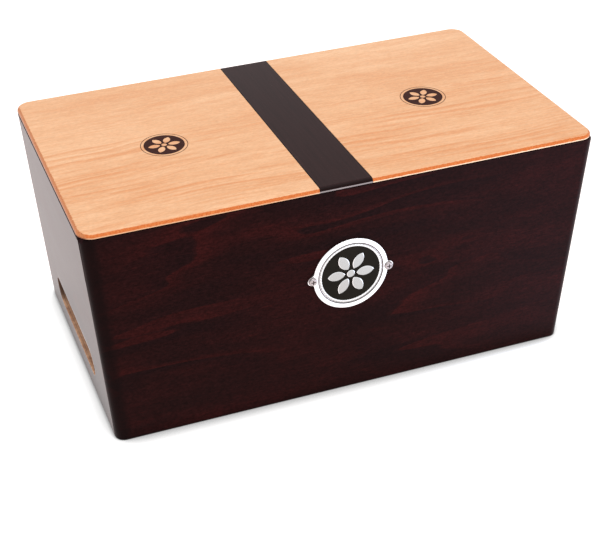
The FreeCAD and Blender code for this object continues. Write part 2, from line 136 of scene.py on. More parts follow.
class Surface:
    """One procedural material. Each call adds nodes and returns the socket that carries their result."""

    MIX_FACTOR, MIX_FIRST, MIX_SECOND, MIX_RESULT = 0, 6, 7, 2  # sockets of a colour mix

    def __init__(self, name, roughness, seed=0.0, **constants):
        self.material = bpy.data.materials.new(name)
        self.material.use_nodes = True
        self.tree = self.material.node_tree
        self.shader = self.tree.nodes["Principled BSDF"]
        self.shader.inputs["Roughness"].default_value = roughness
        for socket, value in constants.items():
            self.shader.inputs[socket.replace("_", " ")].default_value = value
        self.place = self.add("ShaderNodeTexCoord").outputs["Object"]
        self.x, self.y, self.z = self.add("ShaderNodeSeparateXYZ", {0: self.place}).outputs
        shift = (seed, seed * 1.7, seed * 0.6)
        self.grain = self.add("ShaderNodeVectorMath", {0: self.place, 1: shift}, operation="ADD").outputs[0]

    def add(self, kind, inputs=None, **settings):
        """Adds a node and returns the node itself."""
        node = self.tree.nodes.new(kind)
        for name, value in settings.items():
            setattr(node, name, value)
        for key, value in (inputs or {}).items():
            self.feed(node.inputs[key], value)
        return node

    def feed(self, socket, value):
        if isinstance(value, bpy.types.NodeSocket):
            self.tree.links.new(value, socket)
        else:
            socket.default_value = value

    def math(self, operation, first, second=0.0, third=0.0):
        return self.add("ShaderNodeMath", {0: first, 1: second, 2: third}, operation=operation).outputs[0]

    def times(self, *factors):
        product = factors[0]
        for factor in factors[1:]:
            product = self.math("MULTIPLY", product, factor)
        return product

    def scaled(self, value, factor, offset):
        """The value times a factor, plus an offset."""
        return self.math("MULTIPLY_ADD", value, factor, offset)

    def size(self, value):
        return self.math("ABSOLUTE", value)

    def hypot(self, first, second):
        squares = self.math("ADD", self.times(first, first), self.times(second, second))
        return self.math("SQRT", squares)

    def noise(self, cells, detail=3.0, roughness=0.5, distortion=0.0, place=None):
        """Noise from 0 to 1, with so many cells to the metre along X, Y and Z."""
        stretch = {0: place or self.grain, 1: cells}
        inputs = {
            "Vector": self.add("ShaderNodeVectorMath", stretch, operation="MULTIPLY").outputs[0],
            "Scale": 1.0,
            "Detail": detail,
            "Roughness": roughness,
            "Distortion": distortion,
        }
        return self.add("ShaderNodeTexNoise", inputs).outputs[0]

    def band(self, value, low, high):
        """0 below low, 1 above high and a smooth step between them, or the other way round."""
        inputs = {"Value": value, "From Min": low, "From Max": high}
        return self.add("ShaderNodeMapRange", inputs, interpolation_type="SMOOTHSTEP").outputs[0]

    def ramp(self, value, *stops):
        """A colour for each value, from pairs of position and colour."""
        node = self.add("ShaderNodeValToRGB", {0: value})
        elements = node.color_ramp.elements
        for element, (position, colour) in zip(elements, stops):
            element.position = position
            element.color = colour
        for position, colour in stops[2:]:
            elements.new(position).color = colour
        return node.outputs[0]

    def mix(self, factor, first, second):
        """The first colour where the factor is 0 and the second where it is 1."""
        inputs = {self.MIX_FACTOR: factor, self.MIX_FIRST: first, self.MIX_SECOND: second}
        return self.add("ShaderNodeMix", inputs, data_type="RGBA").outputs[self.MIX_RESULT]

    def tone(self, colour, amount):
        """The colour made darker or lighter by a factor."""
        if isinstance(colour, tuple):
            colour = colour[:3]
        return self.add("ShaderNodeVectorMath", {0: colour, 3: amount}, operation="SCALE").outputs[0]

    def speckle(self, colour, noise, reach):
        """The colour varied by noise, by up to reach either side of itself."""
        return self.tone(colour, self.scaled(noise, 2 * reach, 1 - reach))

    def finish(self, colour, height, distance, roughness=None):
        """Joins colour, bump and roughness to the shader and returns the material."""
        self.feed(self.shader.inputs["Base Color"], colour)
        if roughness is not None:
            self.feed(self.shader.inputs["Roughness"], roughness)
        bump = self.add("ShaderNodeBump", {"Height": height, "Distance": distance, "Strength": 1.0})
        self.feed(self.shader.inputs["Normal"], bump.outputs[0])
        return self.material


def along(axis, long, across):
    """Cells to the metre for noise that is drawn out along one axis, the way of the grain."""
    return tuple(long if name == axis else across for name in "xyz")


def outward(surface):
    """How far out from the middle a point lies along X, less the ends' lean up to its height."""
    return surface.scaled(surface.z, -SLOPE, surface.size(surface.x))


def stained_wood(name, axis, seed, rim_depth, painted_highlight=None, **constants):
    """Dark red-brown stain on rotary-cut veneer, whose growth rings show as drawn-out tongues.

    Each tongue runs from a thin redder line into a darker fill. The figure fades toward plus X. Painted
    shade darkens the stain at the foot, under the rim and on the left end's upright corners. Where the
    highlight function gives 1, a pale highlight is painted."""
    surface = Surface(name, roughness=0.3, seed=seed, **constants)
    blotch = surface.noise(along(axis, 9.0, 40.0), detail=5.0, roughness=0.68)
    colour = surface.ramp(
        blotch,
        (0.36, shade(27, 9, 9)),
        (0.47, shade(29, 9, 9)),
        (0.55, shade(33, 10, 10)),
        (0.68, shade(39, 11, 11)),
    )

    field = surface.noise(along(axis, 3.6, 19.0), detail=2.4, distortion=0.25)
    ring = surface.math("FRACT", surface.times(field, 7.0))
    region = surface.noise(along(axis, 5.0, 12.0), detail=1.0, place=surface.place)
    to_left = surface.band(surface.x, 150 * MM, 20 * MM)
    presence = surface.times(surface.band(region, 0.4, 0.58), surface.scaled(to_left, 0.75, 0.25))
    fill = surface.times(surface.band(ring, 0.0, 0.03), surface.band(ring, 0.55, 0.1))
    colour = surface.mix(surface.times(fill, presence, 0.65), colour, shade(21, 8, 9))
    line = surface.times(surface.band(ring, 0.72, 0.97), surface.band(ring, 1.0, 0.99))
    colour = surface.mix(surface.times(line, presence, 0.5), colour, shade(50, 13, 12))

    fibre = surface.noise(along(axis, 70.0, 700.0), detail=4.0, roughness=0.7)
    fleck = surface.times(surface.band(fibre, 0.58, 0.7), surface.band(blotch, 0.46, 0.6))
    colour = surface.mix(surface.times(fleck, 0.45), colour, shade(52, 15, 13))
    colour = surface.speckle(colour, fibre, 0.5)
    grit = surface.noise(along(axis, 420.0, 800.0), detail=2.0, roughness=0.7)
    colour = surface.speckle(colour, grit, 1.0)

    # painted shade: the upright corners at the left end darkened, standing in for a dark reflection
    at_side = surface.band(surface.size(surface.y), HALF_DEPTH - 9 * MM, HALF_DEPTH - 3 * MM)
    at_end = surface.band(outward(surface), FOOT_HALF - 14 * MM, FOOT_HALF - 7 * MM)
    at_left = surface.band(surface.x, 20 * MM, -20 * MM)
    colour = surface.mix(surface.times(at_side, at_end, at_left, 0.75), colour, shade(15, 6, 6))
    # painted shade: the stain darkened along the foot and as a dark line under the rim
    depth = surface.math("SUBTRACT", CASE_TOP, surface.z)
    foot = surface.band(depth, CASE_TOP - 1.4 * MM, CASE_TOP - 0.4 * MM)
    rim = surface.band(depth, rim_depth + 0.4 * MM, rim_depth)
    darker = surface.math("MAXIMUM", surface.times(foot, 0.4), surface.times(rim, 0.7))
    colour = surface.mix(darker, colour, shade(12, 6, 7))
    # painted highlight: the stain turns pale where the highlight function gives 1
    if painted_highlight:
        colour = surface.mix(surface.times(painted_highlight(surface), 0.9), colour, shade(186, 172, 164))

    pores = surface.noise(along(axis, 110.0, 1500.0), detail=1.0)
    gloss = surface.scaled(rim, 0.6, surface.scaled(blotch, 0.06, 0.26))
    return surface.finish(colour, surface.math("ADD", fibre, pores), 0.01 * MM, gloss)


def slot_rim_highlight(surface):
    """1 on a narrow band of an end's face along the front half of the slot's upper rim, where a pale
    highlight is painted.
    """
    past_straight = surface.math("SUBTRACT", surface.size(surface.y), SLOT_STRAIGHT)
    sideways = surface.math("MAXIMUM", past_straight)
    above = surface.math("SUBTRACT", surface.z, SLOT_LEVEL)
    away = surface.hypot(sideways, above)
    near = surface.band(away, SLOT_RADIUS + 2.0 * MM, SLOT_RADIUS + 1.2 * MM)
    upper = surface.band(above, 2 * MM, 8 * MM)
    front = surface.band(surface.y, 15 * MM, -20 * MM)
    return surface.times(near, upper, front)


def playing_wood(name):
    """Light veneer with its grain along X over a cross-laid core that shows in the rounded rim."""
    surface = Surface(name, roughness=0.32, IOR=1.2)
    flame = surface.noise((4.0, 9.0, 9.0), roughness=0.55, distortion=0.8)
    broad = surface.noise((5.0, 60.0, 60.0), detail=5.0, roughness=0.66)
    colour = surface.ramp(
        surface.scaled(flame, 0.5, surface.times(broad, 0.5)),
        (0.4, shade(203, 150, 110)),
        (0.47, shade(206, 157, 118)),
        (0.54, shade(210, 163, 125)),
        (0.64, shade(214, 171, 134)),
    )

    # growth rings: streaks that wander a little and get stronger toward the front
    share = surface.scaled(surface.band(surface.y, 60 * MM, -30 * MM), 0.7, 0.3)
    wander = surface.noise((3.0, 8.0, 8.0), roughness=0.55)
    across = surface.scaled(wander, 0.06, surface.y)
    for rings, cells, strength in ((120.0, (6.0, 40.0, 40.0), 0.8), (270.0, (9.0, 70.0, 70.0), 0.55)):
        ring = surface.math("FRACT", surface.times(across, rings))
        line = surface.times(surface.band(ring, 0.2, 0.85), surface.band(ring, 1.0, 0.82))
        patch = surface.noise(cells, roughness=0.6)
        presence = surface.times(surface.band(patch, 0.45, 0.62), share)
        colour = surface.mix(surface.times(line, presence, strength), colour, shade(197, 131, 85))

    fibre = surface.noise((60.0, 800.0, 800.0), detail=4.0, roughness=0.7)
    colour = surface.speckle(colour, fibre, 0.14)
    thread = surface.noise((95.0, 480.0, 480.0), detail=4.0, roughness=0.75)
    rosy = surface.times(surface.band(thread, 0.48, 0.66), 0.42)
    colour = surface.mix(rosy, colour, shade(200, 141, 98))
    pale = surface.times(surface.band(thread, 0.46, 0.34), 0.35)
    colour = surface.mix(pale, colour, shade(219, 178, 141))
    grit = surface.noise((350.0, 700.0, 700.0), detail=2.0, roughness=0.8)
    colour = surface.speckle(colour, grit, 0.18)
    fleck = surface.noise((160.0, 1300.0, 1300.0), detail=1.0)
    colour = surface.mix(surface.times(surface.band(fleck, 0.7, 0.8), 0.4), colour, shade(150, 95, 60))

    # the rounded rim: orange core with a ragged border, and a pale veneer under it at the front, brightened
    # toward the right by a painted highlight
    ragged = surface.noise((420.0, 420.0, 120.0), roughness=0.7)
    depth = surface.scaled(ragged, 0.9 * MM, surface.math("SUBTRACT", TOP, surface.z))
    core_tone = surface.noise((900.0, 900.0, 400.0), roughness=0.7)
    side_core = surface.ramp(
        core_tone,
        (0.3, shade(178, 92, 42)),
        (0.5, shade(192, 104, 52)),
        (0.7, shade(206, 124, 68)),
    )
    # at the ends the core is browner from its long grain and paler from a painted sheen
    end_core = surface.ramp(
        core_tone,
        (0.3, shade(160, 96, 58)),
        (0.5, shade(178, 112, 70)),
        (0.7, shade(196, 128, 84)),
    )
    at_end = surface.band(surface.size(surface.x), HALF_LENGTH - 7 * MM, HALF_LENGTH - 3 * MM)
    core = surface.mix(at_end, side_core, end_core)
    core_depth = surface.scaled(at_end, -0.4 * MM, 1.0 * MM)
    below = surface.math("SUBTRACT", depth, core_depth)
    colour = surface.mix(surface.band(below, 0.0, 0.2 * MM), colour, core)
    # painted highlight: the pale lower veneer brightens toward the right
    to_right = surface.band(surface.x, -60 * MM, 20 * MM)
    under = surface.mix(to_right, shade(212, 164, 126), shade(236, 204, 172))
    under = surface.mix(at_end, under, shade(120, 72, 48))
    colour = surface.mix(surface.band(depth, 3.1 * MM, 3.3 * MM), colour, under)
    return surface.finish(colour, surface.scaled(fleck, 0.6, fibre), 0.008 * MM)


def strip_wood():
    """Nearly black satin strip, with painted shade darkening its rounded ends and a painted highlight as a
    pale line below them.
    """
    surface = Surface("strip_wood", roughness=0.36, seed=4.2, IOR=1.16)
    fibre = surface.noise((600.0, 22.0, 300.0), roughness=0.6)
    colour = surface.ramp(fibre, (0.3, shade(33, 17, 17)), (0.7, shade(42, 23, 23)))
    grit = surface.noise((700.0, 700.0, 700.0), detail=2.0, roughness=0.7)
    colour = surface.speckle(colour, grit, 0.2)
    dust = surface.noise((900.0, 900.0, 900.0), detail=0.0)
    colour = surface.mix(surface.times(surface.band(dust, 0.86, 0.9), 0.2), colour, shade(130, 112, 108))
    middle = (STRIP_LOW.x + STRIP_HIGH.x) / 2
    half = (STRIP_HIGH.x - STRIP_LOW.x) / 2
    beside = surface.size(surface.math("SUBTRACT", surface.x, middle))
    colour = surface.mix(surface.band(beside, half - 0.9 * MM, half - 0.4 * MM), colour, shade(14, 8, 8))
    depth = surface.math("SUBTRACT", TOP, surface.z)
    # painted shade: the rounded ends darkened
    colour = surface.mix(surface.band(depth, 0.05 * MM, 0.5 * MM), colour, shade(22, 7, 7))
    # painted highlight: a pale line low on the rounded ends, varied by noise
    patchiness = surface.noise((60.0, 60.0, 60.0))
    painted_highlight = surface.times(surface.band(depth, 2.3 * MM, 2.6 * MM), surface.scaled(patchiness, 0.5, 0.65))
    colour = surface.mix(painted_highlight, colour, shade(150, 141, 140))
    return surface.finish(colour, fibre, 0.008 * MM)


def raw_wood(name, axis, seed, light=(200, 160, 128), dark=(160, 118, 90), ior=1.35):
    """Sawn, unpolished wood with its grain along one axis."""
    surface = Surface(name, roughness=0.75, seed=seed, IOR=ior)
    broad = surface.noise(along(axis, 6.0, 60.0), detail=4.0, roughness=0.55)
    colour = surface.ramp(broad, (0.3, shade(*dark)), (0.7, shade(*light)))
    fibre = surface.noise(along(axis, 40.0, 900.0), roughness=0.65)
    colour = surface.speckle(colour, fibre, 0.18)
    return surface.finish(colour, fibre, 0.05 * MM)


def sawn_edge():
    """The plies of the slot's sawn wall, in layers through the board, blotched, with painted shade darkening
    it inward and at the slot's far end.
    """
    surface = Surface("sawn_edge", roughness=0.8, seed=6.0, IOR=1.3)
    behind = surface.math("SUBTRACT", FOOT_HALF, outward(surface))
    layers = {0: surface.times(surface.y, 0.02), 2: behind}
    layers = surface.add("ShaderNodeCombineXYZ", layers).outputs[0]
    ply = surface.noise((1.0, 1.0, 700.0), detail=2.0, place=layers)
    burn = surface.noise((160.0, 130.0, 160.0), detail=4.0, roughness=0.7)
    colour = surface.ramp(
        surface.scaled(ply, 0.5, surface.times(burn, 0.6)),
        (0.38, shade(124, 88, 68)),
        (0.5, shade(166, 125, 99)),
        (0.62, shade(198, 156, 124)),
        (0.75, shade(222, 180, 146)),
    )
    # painted shade: darker inward through the wall
    inward = surface.band(behind, 4 * MM, WALL)
    colour = surface.mix(surface.times(inward, 0.5), colour, shade(96, 64, 52))
    # painted shade: dark at the slot's far end
    far = surface.band(surface.y, SLOT_LENGTH / 2 - 12 * MM, SLOT_LENGTH / 2 - 1 * MM)
    colour = surface.mix(surface.times(far, 0.8), colour, shade(30, 21, 19))
    return surface.finish(colour, burn, 0.1 * MM)


def metal(name, colour, roughness, patchiness=0.0, mask=None, dark=None):
    """Bright metal. Where mask(surface) is 1, the dark colour is painted in as shade."""
    surface = Surface(name, roughness=roughness, Metallic=1.0)
    smear = surface.noise((90.0, 90.0, 90.0), detail=4.0, roughness=0.6)
    toned = surface.speckle(colour, smear, 0.03 + patchiness)
    if mask:
        toned = surface.mix(mask(surface), toned, dark)
    scratch = surface.noise((300.0, 300.0, 4000.0), detail=2.0)
    gloss = surface.scaled(smear, 0.08, roughness)
    return surface.finish(toned, scratch, 0.002 * MM, gloss)


def above_badge_middle(surface):
    return surface.math("SUBTRACT", surface.z, BADGE_LEVEL)


def plate_groove(surface):
    """1 in the thin groove where the plate meets the inner ring, where painted shade darkens the plate."""
    radius = surface.hypot(surface.x, above_badge_middle(surface))
    return surface.band(radius, 26.55 * MM, 26.35 * MM)


def ring_hatch(surface):
    """Painted shade in the ring's troughs: slanting strokes on its flat and the groove beside its bead."""
    up = above_badge_middle(surface)
    radius = surface.hypot(surface.x, up)
    angle = surface.math("ARCTAN2", up, surface.x)
    turn = surface.scaled(angle, RING_RIDGES / (2 * math.pi), surface.times(radius, RING_SLANT))
    ridge = surface.math("FRACT", turn)
    stroke = surface.times(surface.band(ridge, 0.1, 0.4), surface.band(ridge, 0.9, 0.6))
    on_flat = surface.band(radius, 24.95 * MM, 24.8 * MM)
    past_flat = surface.band(radius, 24.9 * MM, 25.0 * MM)
    before_bead = surface.band(radius, 25.35 * MM, 25.2 * MM)
    groove = surface.times(past_flat, before_bead)
    return surface.math("MAXIMUM", surface.times(stroke, on_flat, 0.3), groove)


def screw_cross(surface):
    """The recess of a cross-head screw, down below the crest of its head, where painted shade goes with a
    painted brown reflection of the wood.
    """
    sideways = surface.math("SUBTRACT", surface.size(surface.x), SCREW_OFFSET)
    out = surface.hypot(sideways, above_badge_middle(surface))
    crest = badge_boxes["badge_screws"][0].y
    sunk = surface.band(surface.y, crest, crest + 0.15 * MM)
    return surface.times(surface.band(out, 2.4 * MM, 2.1 * MM), sunk)


def black_enamel():
    surface = Surface("black_enamel", roughness=0.2, IOR=1.12)
    cloud = surface.noise((260.0, 260.0, 260.0))
    colour = surface.ramp(cloud, (0.3, shade(24, 21, 17)), (0.7, shade(28, 25, 20)))
    return surface.finish(colour, cloud, 0.004 * MM)


def print_ink():
    surface = Surface("print_ink", roughness=0.45, IOR=1.1)
    fibre = surface.noise((30.0, 900.0, 900.0), roughness=0.6)
    colour = surface.ramp(fibre, (0.35, shade(48, 24, 20)), (0.7, shade(60, 33, 27)))
    return surface.finish(colour, fibre, 0.01 * MM)


long_stain = stained_wood(
    "stained_wood_long",
    "x",
    seed=1.3,
    rim_depth=0.7 * MM,
    IOR=1.09,
    Sheen_Weight=0.1,
    Sheen_Roughness=0.3,
)
end_stain = stained_wood(
    "stained_wood_end",
    "y",
    seed=7.9,
    rim_depth=END_RIM_EASE,
    painted_highlight=slot_rim_highlight,
    IOR=1.08,
    Sheen_Weight=0.33,
    Sheen_Roughness=0.3,
    Sheen_Tint=(1.0, 0.92, 0.91, 1.0),
)
# a dark material for painted shade: the dark line under the playing boards' rim
painted_rim_shade = raw_wood("painted_rim_shade", "y", 4.0, light=(36, 18, 20), dark=(22, 10, 11), ior=1.1)
ply_face = raw_wood("ply_face", "x", 5.0)
ply_edge = sawn_edge()
ring_metal = metal("ring_metal", shade(226, 228, 226), 0.16, mask=ring_hatch, dark=shade(96, 82, 84))
mark_face = metal("mark_face", shade(169, 170, 167), 0.3)
mark_edge = metal("mark_edge", shade(240, 240, 240), 0.15)


# ---------------------------------------------------------------- the CAD nodes that stay


def dress(node, material):
    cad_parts[node].material_slots[0].material = material


def dress_frame():
    """Gives each CAD node that no finer piece replaces its material."""
    upright = raw_wood("raw_wood_upright", "z", 1.0)
    lengthways = raw_wood("raw_wood_lengthways", "x", 2.0)
    crossways = raw_wood("raw_wood_crossways", "y", 3.0)
    dress("bottom_panel", raw_wood("base_ply", "x", 3.0))
    dress("centre_divider", upright)
    dress("centre_bearer", crossways)
    for hand in ("left", "right"):
        dress(f"base_cleat_{hand}_end", crossways)
        for end in ("front", "back"):
            dress(f"corner_post_{end}_{hand}", upright)
            dress(f"base_cleat_{end}_{hand}", lengthways)
    groove_shade, cross_shade = shade(78, 58, 62), shade(72, 46, 36)
    plate = metal("plate_metal", shade(250, 250, 250), 0.06, mask=plate_groove, dark=groove_shade)
    screws = metal("screw_metal", shade(168, 160, 160), 0.25, 0.1, mask=screw_cross, dark=cross_shade)
    dress("badge_plate", plate)
    dress("badge_screws", screws)
    dress("badge_disc", black_enamel())
    ink = print_ink()
    dress("left_emblem", ink)
    dress("right_emblem", ink)


# ---------------------------------------------------------------- finer meshes


def skin(name, loops, materials, bands=None, caps=None, ring=False):
    """A solid skinned over a row of closed loops of points, the loops all having as many points.

    bands gives the material of the faces after each loop, caps the materials of the two end faces, and
    ring says that the last loop joins the first instead."""
    count = len(loops[0])
    points = [point for loop in loops for point in loop]
    faces = []
    indices = []
    for level in range(len(loops) if ring else len(loops) - 1):
        near, far = level * count, (level + 1) % len(loops) * count
        for i in range(count):
            j = (i + 1) % count
            faces.append((near + i, near + j, far + j, far + i))
            indices.append(bands[level] if bands else 0)
    if caps:
        faces.append(tuple(reversed(range(count))))
        faces.append(tuple(range(len(points) - count, len(points))))
        indices += list(caps)
    mesh = bpy.data.meshes.new(name)
    mesh.from_pydata(points, [], faces)
    for material in materials:
        mesh.materials.append(material)
    mesh.polygons.foreach_set("material_index", indices)
    return mesh


def put_in_scene(name, data):
    thing = bpy.data.objects.new(name, data)
    bpy.context.scene.collection.objects.link(thing)
    return thing


def place_piece(name, mesh, slot, *nodes, sharp=32):
    """Puts a finished mesh in the scene as the piece that stands for some CAD nodes.

    Edges that turn by more than sharp degrees stay crisp."""
    work = bmesh.new()
    work.from_mesh(mesh)
    bmesh.ops.recalc_face_normals(work, faces=work.faces)
    work.to_mesh(mesh)
    work.free()
    mesh.shade_smooth()
    mesh.set_sharp_from_angle(angle=math.radians(sharp))
    piece = put_in_scene(name, mesh)
    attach(piece, "root")
    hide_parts(*nodes)
    return piece


def corners_of(mesh, face):
    return [mesh.vertices[i].co for i in face.vertices]


def quarter(steps):
    """The angles of a quarter turn, from 0 to 90 degrees, both ends included."""
    return [math.pi / 2 * step / steps for step in range(steps + 1)]


def steps_between(low, high, steps):
    """Evenly spaced values between two ends, without the ends."""
    return [low + (high - low) * step / steps for step in range(1, steps)]


def circle(radius, steps):
    angles = [2 * math.pi * step / steps for step in range(steps)]
    return [(radius * math.cos(angle), radius * math.sin(angle)) for angle in angles]


def end_face(z):
    """How far the outer face of a leaning end lies from the middle at a height."""
    return FOOT_HALF + SLOPE * z


def eased(z, rim_ease):
    """How far the case's surface comes in at a height, by its eased foot and rim."""
    if z < FOOT_EASE:
        return FOOT_EASE - math.sqrt(FOOT_EASE**2 - (FOOT_EASE - z) ** 2)
    above = max(0.0, z - (CASE_TOP - rim_ease))
    return rim_ease - math.sqrt(max(0.0, rim_ease**2 - above**2))


def case_levels():
    """The heights at which the long boards are cut, close together where foot and rim are eased."""
    foot = [FOOT_EASE * (1 - math.cos(a)) for a in quarter(6)]
    wall = steps_between(FOOT_EASE, RIM_LINE, 24)
    rim = {CASE_TOP - ease * (1 - math.sin(a)) for ease in (RIM_EASE, END_RIM_EASE) for a in quarter(7)}
    rim = sorted(z for z in rim if z < CASE_TOP - SAME)
    return foot + wall + [RIM_LINE] + rim + [CASE_TOP]


def long_board_section(z, side):
    """The front or back board cut level: a bar with rounded outer corners, rebated for the ends."""
    radius_x = CORNER_RADIUS - eased(z, END_RIM_EASE)
    radius_y = CORNER_RADIUS - eased(z, RIM_EASE)
    centre_x = end_face(z) - CORNER_RADIUS
    centre_y = HALF_DEPTH - CORNER_RADIUS
    rebate = end_face(z) - WALL * SQUARE_TO_END
    start = math.asin((JOINT_DEPTH + JOINT_EASE - centre_y) / radius_y)
    joint = centre_x + radius_x * math.cos(start) - JOINT_EASE
    half = [(rebate, INNER_DEPTH), (rebate, JOINT_DEPTH), (joint, JOINT_DEPTH)]
    for step in range(CORNER_STEPS + 1):
        angle = start + (math.pi / 2 - start) * step / CORNER_STEPS
        half.append((centre_x + radius_x * math.cos(angle), centre_y + radius_y * math.sin(angle)))
    outline = half + [(-x, y) for x, y in reversed(half)]
    return [(x, side * y, z) for x, y in outline]


def long_board(name, side, node):
    """The front or back board, bare inside, with painted shade as a darker rim at its corners."""
    stain, bare, dark = 0, 1, 2
    loops = [long_board_section(z, side) for z in case_levels()]
    mesh = skin(name, loops, [long_stain, ply_face, painted_rim_shade], caps=(stain, stain))
    # painted shade: rim faces at the corners get the dark rim material
    corner_x = HALF_LENGTH - CORNER_RADIUS
    corner_y = HALF_DEPTH - 0.3 * CORNER_RADIUS
    for face in mesh.polygons:
        points = corners_of(mesh, face)
        at_rim = all(p.z > RIM_LINE - SLACK for p in points)
        if all(abs(p.y) < INNER_DEPTH + SLACK for p in points):
            face.material_index = bare
        elif at_rim and all(abs(p.x) > corner_x and abs(p.y) < corner_y for p in points):
            face.material_index = dark
    return place_piece(name, mesh, "stained_wood", node)


def slot_outline():
    """The slot's outline as triples: its point, the point of the board's outline that faces it, and
    the direction straight out of the slot there."""
    above, below = CASE_TOP - SLOT_LEVEL, -SLOT_LEVEL
    aside = JOINT_DEPTH - SLOT_STRAIGHT
    upper = math.atan2(above, aside)
    lower = math.atan2(below, aside)
    angles = []
    for first, last, steps in ((-math.pi / 2, lower, 7), (lower, upper, 16), (upper, math.pi / 2, 4)):
        angles += [first + (last - first) * step / steps for step in range(steps)]
    angles.append(math.pi / 2)
    round_end = []
    for angle in angles:
        cos, sin = math.cos(angle), math.sin(angle)
        if lower <= angle <= upper:
            facing = (JOINT_DEPTH, SLOT_LEVEL + aside * math.tan(angle))
        else:
            reach = above if angle > 0 else below
            facing = (SLOT_STRAIGHT + reach / math.tan(angle), SLOT_LEVEL + reach)
        point = (SLOT_STRAIGHT + SLOT_RADIUS * cos, SLOT_LEVEL + SLOT_RADIUS * sin)
        round_end.append((point, facing, (cos, sin)))
    other_end = [((-p[0], p[1]), (-q[0], q[1]), (-n[0], n[1])) for p, q, n in reversed(round_end)]
    straight = steps_between(SLOT_STRAIGHT, -SLOT_STRAIGHT, 18)
    top = [((y, SLOT_LEVEL + SLOT_RADIUS), (y, CASE_TOP), (0.0, 1.0)) for y in straight]
    foot = [((y, SLOT_LEVEL - SLOT_RADIUS), (y, 0.0), (0.0, -1.0)) for y in reversed(straight)]
    return round_end + top + other_end + foot


def end_border(outline, angle):
    """An end board's outline, each point with how far it lies behind the flat of the outer face.

    At angle 0 it is the board's very edge, and by 90 degrees it has come in past all the easing."""
    wrap = 2 * MM  # how far the case's rounded corner reaches onto the end board
    share = math.sin(angle)
    loop = []
    for _, (y, z), _ in outline:
        behind = 0.0
        if abs(abs(y) - JOINT_DEPTH) < SAME:
            inward = wrap * share
            behind = CORNER_RADIUS - math.sqrt(CORNER_RADIUS**2 - (wrap - inward) ** 2)
            if angle == 0:
                behind += JOINT_EASE
            else:
                inward = max(inward, JOINT_EASE)
            y = math.copysign(JOINT_DEPTH - inward, y)
        if abs(z - CASE_TOP) < SAME:
            z = CASE_TOP - END_RIM_EASE * (1 - math.cos(angle))
            behind = max(behind, END_RIM_EASE * (1 - share))
        elif abs(z) < SAME:
            z = FOOT_EASE * (1 - math.cos(angle))
            behind = max(behind, FOOT_EASE * (1 - share))
        loop.append((y, z, behind))
    return loop


def end_board(name, side, node):
    """A leaning end with its slot: rings of faces run from the edges over the outer face into the slot."""
    face, edge, inside, rim = 0, 1, 2, 3
    bevel = 0.5 * MM  # where the slot opens inside
    outline = slot_outline()
    # painted shade: the board's own edges and the outer face above RIM_LINE get the dark rim material
    loops = [[(y, z, WALL) for _, (y, z), _ in outline]]
    bands = [rim]

    def opening(grow, behind):
        """The slot's outline, widened by grow."""
        return [(y + grow * u, z + grow * v, behind) for (y, z), _, (u, v) in outline]

    def then(loop, band):
        loops.append(loop)
        bands.append(band)

    for angle in quarter(6):
        then(end_border(outline, angle), face)
    border, mouth = loops[-1], opening(SLOT_EASE, 0.0)
    for share in (0.007, 0.25, 0.5, 0.75, 0.93):  # the first ends the dark rim of painted shade
        loop = [tuple(a + (b - a) * share for a, b in zip(p, q)) for p, q in zip(border, mouth)]
        then(loop, face)
    for angle in quarter(6):
        then(opening(SLOT_EASE * (1 - math.sin(angle)), SLOT_EASE * (1 - math.cos(angle))), edge)
    for share in (0.3, 0.6):
        then(opening(0.0, WALL * share), edge)
    then(opening(0.0, WALL - bevel), edge)
    then(opening(bevel, WALL), inside)

    def in_place(y, z, behind):
        return (side * (end_face(z) - behind * SQUARE_TO_END), y, z)

    loops = [[in_place(*point) for point in loop] for loop in loops]
    mesh = skin(name, loops, [end_stain, ply_edge, ply_face, painted_rim_shade], bands, ring=True)
    # painted shade: faces of the outer face above RIM_LINE get the dark rim material
    for polygon in mesh.polygons:
        at_rim = all(p.z > RIM_LINE - SLACK for p in corners_of(mesh, polygon))
        if polygon.material_index == face and at_rim:
            polygon.material_index = rim
    return place_piece(name, mesh, "stained_wood", node)


def board_levels():
    """Heights of a playing board from its underside up, each with how far the rim comes in there."""
    arris = 0.12 * MM
    levels = [(CASE_TOP, arris), (CASE_TOP + arris, 0.0)]
    for angle in quarter(14):
        z = TOP - TOP_ROUNDOVER + TOP_ROUNDOVER * math.sin(angle)
        levels.append((z, TOP_ROUNDOVER * (1 - math.cos(angle))))
    return levels


def joint_bevel(z):
    """How far the top boards draw back from each other at a height."""
    return max(0.0, z - (TOP - JOINT_EASE))


def playing_board(name, side, joint, material, node):
    """One playing board: rounded over at three sides, square where it meets the centre strip."""
    loops = []
    centre_x = HALF_LENGTH - BOARD_CORNER_RADIUS
    centre_y = HALF_DEPTH - BOARD_CORNER_RADIUS
    for z, inset in board_levels():
        radius = BOARD_CORNER_RADIUS - inset
        half = [(joint + side * joint_bevel(z), HALF_DEPTH - inset)]
        for angle in reversed(quarter(CORNER_STEPS)):
            x, y = centre_x + radius * math.cos(angle), centre_y + radius * math.sin(angle)
            half.append((side * x, y))
        loops.append([(x, y, z) for x, y in half] + [(x, -y, z) for x, y in reversed(half)])
    mesh = skin(name, loops, [material], caps=(0, 0))
    return place_piece(name, mesh, "playing_wood", node)


def centre_strip():
    loops = []
    for z, inset in board_levels():
        low, high = STRIP_LOW.x + joint_bevel(z), STRIP_HIGH.x - joint_bevel(z)
        far = HALF_DEPTH - inset
        loops.append([(low, -far, z), (high, -far, z), (high, far, z), (low, far, z)])
    mesh = skin("strip", loops, [strip_wood()], caps=(0, 0))
    return place_piece("strip", mesh, "strip_wood", "centre_strip")


